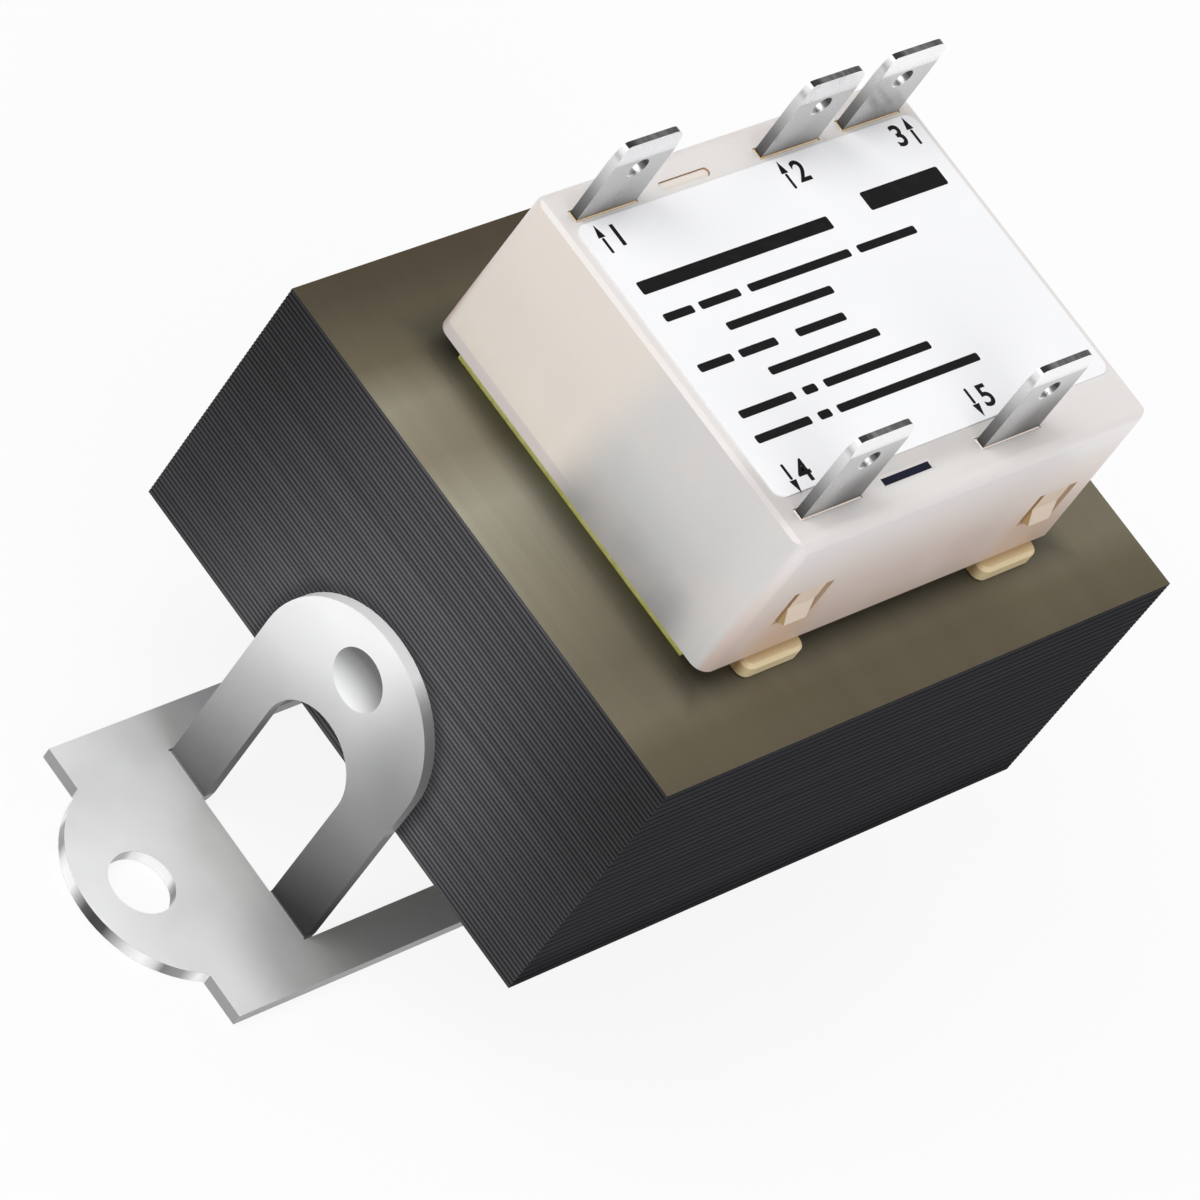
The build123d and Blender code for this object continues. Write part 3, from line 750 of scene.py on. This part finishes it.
bobbinSettings = {
    "Roughness": 0.4,
    "Subsurface Weight": 0.1,
    "Subsurface Scale": 0.001,
    "creamTone": tone(228, 208, 188),
    "rimHighlightTone": tone(234, 214, 172),
    "footTone": tone(180, 150, 106),
    "amberTone": tone(192, 162, 110),
    "ribTone": tone(236, 226, 218),
    # heights: the feet end at the first, the hooks' flanks start at the second, the ribs at the third
    "footTop": 0.0425,
    "flankLow": 0.0452,
    "ribLow": 0.0567,
    "outside": 0.0155,                  # beyond this the bobbin stands out of the cover, on either side
    "underSpare": {"x": (-0.0088, -0.0029), "y": (-0.0150, -0.0130), "z": (0.0495, 0.0700)},
}


def makeBobbinNylon():
    nylon = Finish("bobbinNylon", bobbinSettings)
    tree = nylon.tree
    cloud = speckle(tree, nylon.place, 220, 3)
    fromMiddle = calc(tree, "ABSOLUTE", nylon.y)
    onFeet = calc(tree, "LESS_THAN", nylon.z, bobbinSettings["footTop"])
    onHooks = calc(tree, "GREATER_THAN", nylon.z, bobbinSettings["flankLow"])
    outside = calc(tree, "GREATER_THAN", fromMiddle, bobbinSettings["outside"])
    # painted shade and highlight: the feet pale outwards, from amber beside the cover to a painted highlight
    # on the rim
    paler = rise(tree, fromMiddle, 0.0167, 0.0177)
    foot = mixTones(tree, paler, bobbinSettings["footTone"], bobbinSettings["rimHighlightTone"])
    base = mixTones(tree, onFeet, bobbinSettings["creamTone"], foot)
    # painted shade in amber on the flanks of the hooks, where they stand out of the cover
    onFlank = rise(tree, nylon.toX, 0.3, 0.6)
    amber = allOf(tree, onFlank, onHooks, outside, rise(tree, cloud, 0.3, 0.7, 0.8, 1.0))
    base = mixTones(tree, amber, base, bobbinSettings["amberTone"])
    onRib = calc(tree, "GREATER_THAN", nylon.z, bobbinSettings["ribLow"])
    base = mixTones(tree, onRib, base, bobbinSettings["ribTone"])
    # painted shade in dark blue under the spare slot
    base = mixTones(tree, nylon.within(bobbinSettings["underSpare"]), base, coverSettings["spareSlotShadeTone"])
    nylon.colour(base)
    nylon.roughness(rise(tree, cloud, 0.3, 0.7, 0.36, 0.46))
    nylon.bump(speckle(tree, nylon.place, 2600, 2), 0.1, 0.00003)
    nylon.give("bobbin")


makeBobbinNylon()
print("bobbin nylon done")


# coil: yellow polyester film over enamelled wire

tapeSettings = {
    "Roughness": 0.35,
    "filmTone": tone(255, 252, 160),
    "shadeTone": tone(240, 236, 130),
    "underCoreShadeTone": tone(176, 172, 132),         # painted shade below the core
}
wireSettings = {
    "Metallic": 0.6,
    "Roughness": 0.3,
    "copperTone": tone(176, 96, 46),
    "dustTone": tone(140, 70, 30),
    "gapTone": tone(70, 30, 12),
    "turnPitch": 0.0006,
}


def makeTape():
    tape = Finish("polyesterTape", tapeSettings)
    tree = tape.tree
    wrinkle = speckle(tree, tape.place, 300, 2, (1.0, 4.0, 1.0))
    film = mixTones(tree, rise(tree, wrinkle, 0.3, 0.7), tapeSettings["shadeTone"], tapeSettings["filmTone"])
    # painted shade on the tape below the core
    below = rise(tree, tape.z, coreLow.z + 0.001, coreLow.z)
    tape.colour(mixTones(tree, below, film, tapeSettings["underCoreShadeTone"]))
    tape.roughness(rise(tree, wrinkle, 0.3, 0.7, 0.28, 0.4))
    tape.bump(wrinkle, 0.15, 0.00004)
    tape.give("outer_coil_tape", "primary_winding_wrap", "secondary_winding_wrap")


def makeWire():
    wire = Finish("enamelledWire", wireSettings)
    tree = wire.tree
    turn = calc(tree, "FRACT", calc(tree, "DIVIDE", wire.y, wireSettings["turnPitch"]))
    crown = rise(tree, offFrom(tree, turn, 0.5), 0.5, 0.1)
    dust = speckle(tree, wire.place, 500, 2)
    dusty = rise(tree, dust, 0.3, 0.7, 0.0, 0.3)
    copper = mixTones(tree, dusty, wireSettings["copperTone"], wireSettings["dustTone"])
    # painted shade in the grooves between the turns
    wire.colour(mixTones(tree, crown, wireSettings["gapTone"], copper))
    wire.roughness(rise(tree, dust, 0.3, 0.7, 0.26, 0.36))
    wire.bump(crown, 0.6, 0.0002)
    wire.give(*[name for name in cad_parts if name.endswith("_winding") or "_lead_" in name])


makeTape()
makeWire()
print("tape and wire done")


# label: white film, printed with arrows, terminal numbers and plain bars

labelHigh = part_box("cover_label")[1]
labelSettings = {"Roughness": 0.32, "filmTone": tone(251, 251, 252), "shadeTone": tone(247, 247, 249)}
inkSettings = {
    "Roughness": 0.6,
    "Specular IOR Level": 0.1,
    "inkTone": tone(6, 6, 7),
    "wearAndPaleShadeTone": tone(22, 22, 23),
}

printSettings = {
    "lift": 0.02,            # how thick the ink lies, in millimetres like the rest here
    "corner": 0.18,
    # rows of plain bars: y of the middle, height, and the (start, end) of each bar
    "rows": (
        (6.75, 1.15, ((-16.9, 3.9),)),
        (7.35, 1.7, ((8.4, 17.2),)),
        (3.9, 0.7, ((-16.7, -13.6), (-12.9, -8.6), (-7.6, 3.6), (4.5, 11.0))),
        (1.6, 0.7, ((-11.9, -0.4),)),
        (-0.75, 0.7, ((-17.0, -13.4), (-12.6, -8.6), (-6.4, -1.1))),
        (-2.85, 0.7, ((-11.2, 0.8),)),
        (-5.25, 0.7, ((-16.5, -10.6), (-9.6, -8.2), (-7.3, 4.4))),
        (-7.5, 0.7, ((-16.7, -10.8), (-9.9, -8.6), (-7.8, 7.9))),
    ),
    # an arrow and a number beside each tab: x, y, pointing up or down, number
    "marks": (
        (-16.8, 11.3, 1, "1"), (3.2, 11.4, 1, "2"), (17.5, 11.5, 1, "3"),
        (-16.2, -11.1, -1, "4"), (4.4, -10.7, -1, "5"),
    ),
    "arrowLong": 2.3,
    "arrowWide": 0.72,
    "shaftWide": 0.26,
    "digitHigh": 1.9,
    "digitShare": 0.7,       # how much of the text size a digit fills
    "digitHeavier": 0.05,
    "digitStep": 1.5,        # from the arrow, to its +X side but for the last tab of the row
    "join": 0.002,
}


def makeLabelFilm():
    film = Finish("labelFilm", labelSettings)
    tree = film.tree
    sheen = speckle(tree, film.place, 60, 2)
    shade = rise(tree, sheen, 0.3, 0.7, 0.0, 0.5)
    film.colour(mixTones(tree, shade, labelSettings["filmTone"], labelSettings["shadeTone"]))
    film.roughness(rise(tree, sheen, 0.3, 0.7, 0.26, 0.38))
    film.bump(speckle(tree, film.place, 900, 2), 0.05, 0.00003)
    film.give("cover_label")


def printedBar(mesh, middle, size):
    # a flat bar with rounded ends, lying on the label
    lift = printSettings["lift"]
    made = bmesh.ops.create_cube(mesh, size=1.0)["verts"]
    bmesh.ops.scale(mesh, vec=(size[0], size[1], lift), verts=made)
    edges = {edge for vert in made for edge in vert.link_edges}
    upright = [edge for edge in edges if abs(edge.verts[0].co.z - edge.verts[1].co.z) > lift / 2]
    corner = min(printSettings["corner"], size[0] * 0.45, size[1] * 0.45)
    rounded = roundOff(mesh, upright, corner, 3)
    made = list({vert for face in rounded["faces"] for vert in face.verts})
    bmesh.ops.translate(mesh, vec=middle, verts=made)


def printedArrow(mesh, middle, up):
    # a shaft and a triangle that overlap; up is 1 or -1
    long, wide = printSettings["arrowLong"], printSettings["arrowWide"]
    tipLong = 0.5 * long
    printedBar(mesh, middle - Vector((0, up * 0.2 * long, 0)), (printSettings["shaftWide"], 0.62 * long))
    tip = bmesh.ops.create_cone(mesh, cap_ends=True, segments=3, radius1=1.0, radius2=1.0,
                                depth=printSettings["lift"])["verts"]
    turn = Matrix.Rotation(math.radians(0 if up > 0 else 180), 3, "Z")
    bmesh.ops.rotate(mesh, cent=(0, 0, 0), matrix=turn, verts=tip)
    # a triangle of radius 1 is 1.732 wide and 1.5 long
    bmesh.ops.scale(mesh, vec=(wide / 1.732, tipLong / 1.5, 1.0), verts=tip)
    bmesh.ops.translate(mesh, vec=middle + Vector((0, up * 0.3 * long, 0)), verts=tip)


def addDigits(mesh, level):
    # the numbers are text turned into a mesh, then placed beside their arrows
    for x, y, _, number in printSettings["marks"]:
        words = bpy.data.curves.new("terminalNumber", "FONT")
        words.body = number
        words.size = printSettings["digitHigh"] / printSettings["digitShare"]
        words.extrude = printSettings["lift"] / 2
        words.offset = printSettings["digitHeavier"]
        words.align_x = "CENTER"
        words.align_y = "CENTER"
        shape = bpy.data.objects.new("terminalNumber", words)
        flat = bpy.data.meshes.new_from_object(shape)
        side = -1 if x > 15 else 1
        flat.transform(Matrix.Translation((x + side * printSettings["digitStep"], y, level)))
        mesh.from_mesh(flat)
        bpy.data.objects.remove(shape)
        bpy.data.curves.remove(words)
        bpy.data.meshes.remove(flat)


def makePrint():
    mesh = bmesh.new()
    level = labelHigh.z / millimetre + printSettings["lift"] / 2
    for y, high, bars in printSettings["rows"]:
        for start, end in bars:
            printedBar(mesh, Vector(((start + end) / 2, y, level)), (end - start, high))
    for x, y, up, _ in printSettings["marks"]:
        printedArrow(mesh, Vector((x, y, level)), up)
    addDigits(mesh, level)
    # text comes as loose front, back and side faces, so they are joined first
    bmesh.ops.remove_doubles(mesh, verts=mesh.verts, dist=printSettings["join"])
    for face in mesh.faces:
        face.smooth = False
    intoMetres(mesh)
    printed = newPiece("label_print", mesh)

    ink = Finish("printingInk", inkSettings)
    tree = ink.tree
    wear = speckle(tree, ink.place, 700, 3)
    ink.colour(mixTones(tree, rise(tree, wear, 0.45, 0.75), inkSettings["inkTone"], inkSettings["wearAndPaleShadeTone"]))
    ink.roughness(rise(tree, wear, 0.3, 0.7, 0.55, 0.65))
    printed.data.materials.append(ink.material)
    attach(printed, "root")


makeLabelFilm()
makePrint()
print("label and print done")


# floor, lamps and camera

stageSettings = {
    "floorHalf": 2.5,
    "floorHeight": -0.0001,
    "floorTone": tone(244, 244, 245),
    "backgroundShare": 0.88,
    "worldTone": tone(232, 233, 235),
    "worldStrength": 0.5,
}

lampSettings = (
    # name, place, aimed at, size, watts
    ("keyLamp", (-0.9, 0.5, 1.3), (0, 0, 0.03), 1.4, 12.9),
    ("fillLamp", (-0.5, -1.3, 0.7), (0, 0, 0.03), 1.4, 7.2),
    ("topLamp", (0.4, 0.0, 1.5), (0, 0, 0.05), 1.4, 4.0),
)

cameraSettings = {
    # where it stands, and its own three directions
    "place": (-0.38997, -0.15337, 0.40692),
    "right": (0.68076, -0.57398, 0.4551),
    "up": (0.26742, 0.77315, 0.57509),
    "back": (-0.68195, -0.26979, 0.67982),
    "lens": 222.89,
    "sensor": 36.0,
}


def seenDirectly(tree):
    # 1 for rays that come straight from the camera, from a shiny surface or through a clear one
    path = put(tree, "ShaderNodeLightPath")
    mirrored = calc(tree, "MAXIMUM", path.outputs["Is Glossy Ray"], path.outputs["Is Transmission Ray"])
    return calc(tree, "MAXIMUM", path.outputs["Is Camera Ray"], mirrored)


def makeFloor():
    mesh = bmesh.new()
    bmesh.ops.create_grid(mesh, x_segments=4, y_segments=4, size=stageSettings["floorHalf"])
    bmesh.ops.translate(mesh, vec=(0, 0, stageSettings["floorHeight"]), verts=mesh.verts)
    floor = newPiece("floor", mesh)
    material = bpy.data.materials.new("paleFloor")
    material.use_nodes = True
    tree = material.node_tree
    tree.nodes.remove(tree.nodes["Principled BSDF"])
    matt = put(tree, "ShaderNodeBsdfDiffuse", {"Color": stageSettings["floorTone"]})
    glow = put(tree, "ShaderNodeEmission", {"Color": (1, 1, 1, 1), "Strength": 1.0})
    amount = calc(tree, "MULTIPLY", seenDirectly(tree), stageSettings["backgroundShare"])
    mixed = put(tree, "ShaderNodeMixShader", {0: amount, 1: matt.outputs[0], 2: glow.outputs[0]})
    tree.links.new(mixed.outputs[0], tree.nodes["Material Output"].inputs["Surface"])
    floor.data.materials.append(material)


def makeWorld():
    world = bpy.data.worlds.new("studio")
    bpy.context.scene.world = world
    world.use_nodes = True
    tree = world.node_tree
    lit = tree.nodes["Background"]
    lit.inputs["Color"].default_value = stageSettings["worldTone"]
    lit.inputs["Strength"].default_value = stageSettings["worldStrength"]
    white = put(tree, "ShaderNodeBackground", {"Color": (1, 1, 1, 1), "Strength": 1.0})
    shaders = {0: seenDirectly(tree), 1: lit.outputs[0], 2: white.outputs[0]}
    mixed = put(tree, "ShaderNodeMixShader", shaders)
    tree.links.new(mixed.outputs[0], tree.nodes["World Output"].inputs["Surface"])


def makeLamps():
    for name, place, target, size, watts in lampSettings:
        data = bpy.data.lights.new(name, "AREA")
        data.shape = "DISK"
        data.size = size
        data.energy = watts
        lamp = bpy.data.objects.new(name, data)
        lamp.location = place
        aim = Vector(target) - Vector(place)
        lamp.rotation_euler = aim.to_track_quat("-Z", "Y").to_euler()
        bpy.context.scene.collection.objects.link(lamp)


def makeCamera():
    data = bpy.data.cameras.new("camera")
    data.lens = cameraSettings["lens"]
    data.sensor_width = cameraSettings["sensor"]
    data.sensor_fit = "HORIZONTAL"
    camera = bpy.data.objects.new("camera", data)
    turn = Matrix([cameraSettings["right"], cameraSettings["up"], cameraSettings["back"]]).transposed()
    camera.matrix_world = Matrix.Translation(cameraSettings["place"]) @ turn.to_4x4()
    bpy.context.scene.collection.objects.link(camera)
    bpy.context.scene.camera = camera


makeFloor()
makeWorld()
makeLamps()
makeCamera()
bpy.context.scene.view_settings.view_transform = "Standard"
print("stage done")
